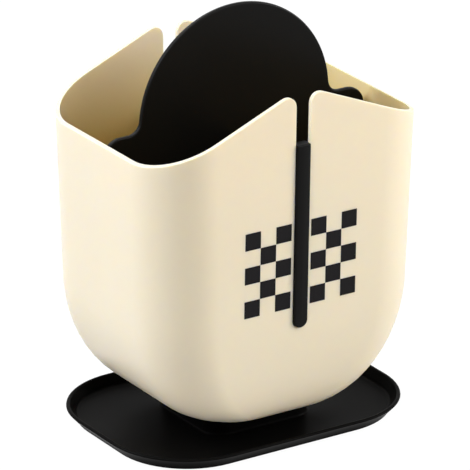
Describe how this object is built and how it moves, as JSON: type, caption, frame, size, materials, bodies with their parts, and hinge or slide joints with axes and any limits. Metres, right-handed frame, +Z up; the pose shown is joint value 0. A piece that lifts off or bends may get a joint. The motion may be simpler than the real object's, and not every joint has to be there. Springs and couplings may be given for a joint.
{
  "type": "chopstick holder",
  "caption": "Flared cream tub with sloping rims and slits, parted by lift-out crossed black plates with a round head, on a black drip tray.",
  "frame": {"origin": "bottom centre of the drip tray, on the table", "axes": "+Z up; +X to the right along the front wall; the front wall with the checkered print faces -Y"},
  "size_m": [0.146, 0.1118, 0.1944],
  "materials": {
    "cream_plastic": "satin",
    "black_plastic": "satin"
  },
  "bodies": {
    "drip_tray": {"drip_tray": "black_plastic"},
    "tub": {"tub": "cream_plastic"},
    "cross_plate": {"cross_plate": "black_plastic"},
    "head_plate": {"head_plate": "black_plastic"}
  },
  "joints": [
    {"name": "tub_lift", "type": "slide", "parent": "drip_tray", "child": "tub", "axis": [0, 0, 1], "range_m": [0, 0.04]},
    {"name": "cross_lift", "type": "slide", "parent": "tub", "child": "cross_plate", "axis": [0, 0, 1], "range_m": [0, 0.16]},
    {"name": "head_lift", "type": "slide", "parent": "cross_plate", "child": "head_plate", "axis": [0, 0, 1], "range_m": [0, 0.13]}
  ]
}
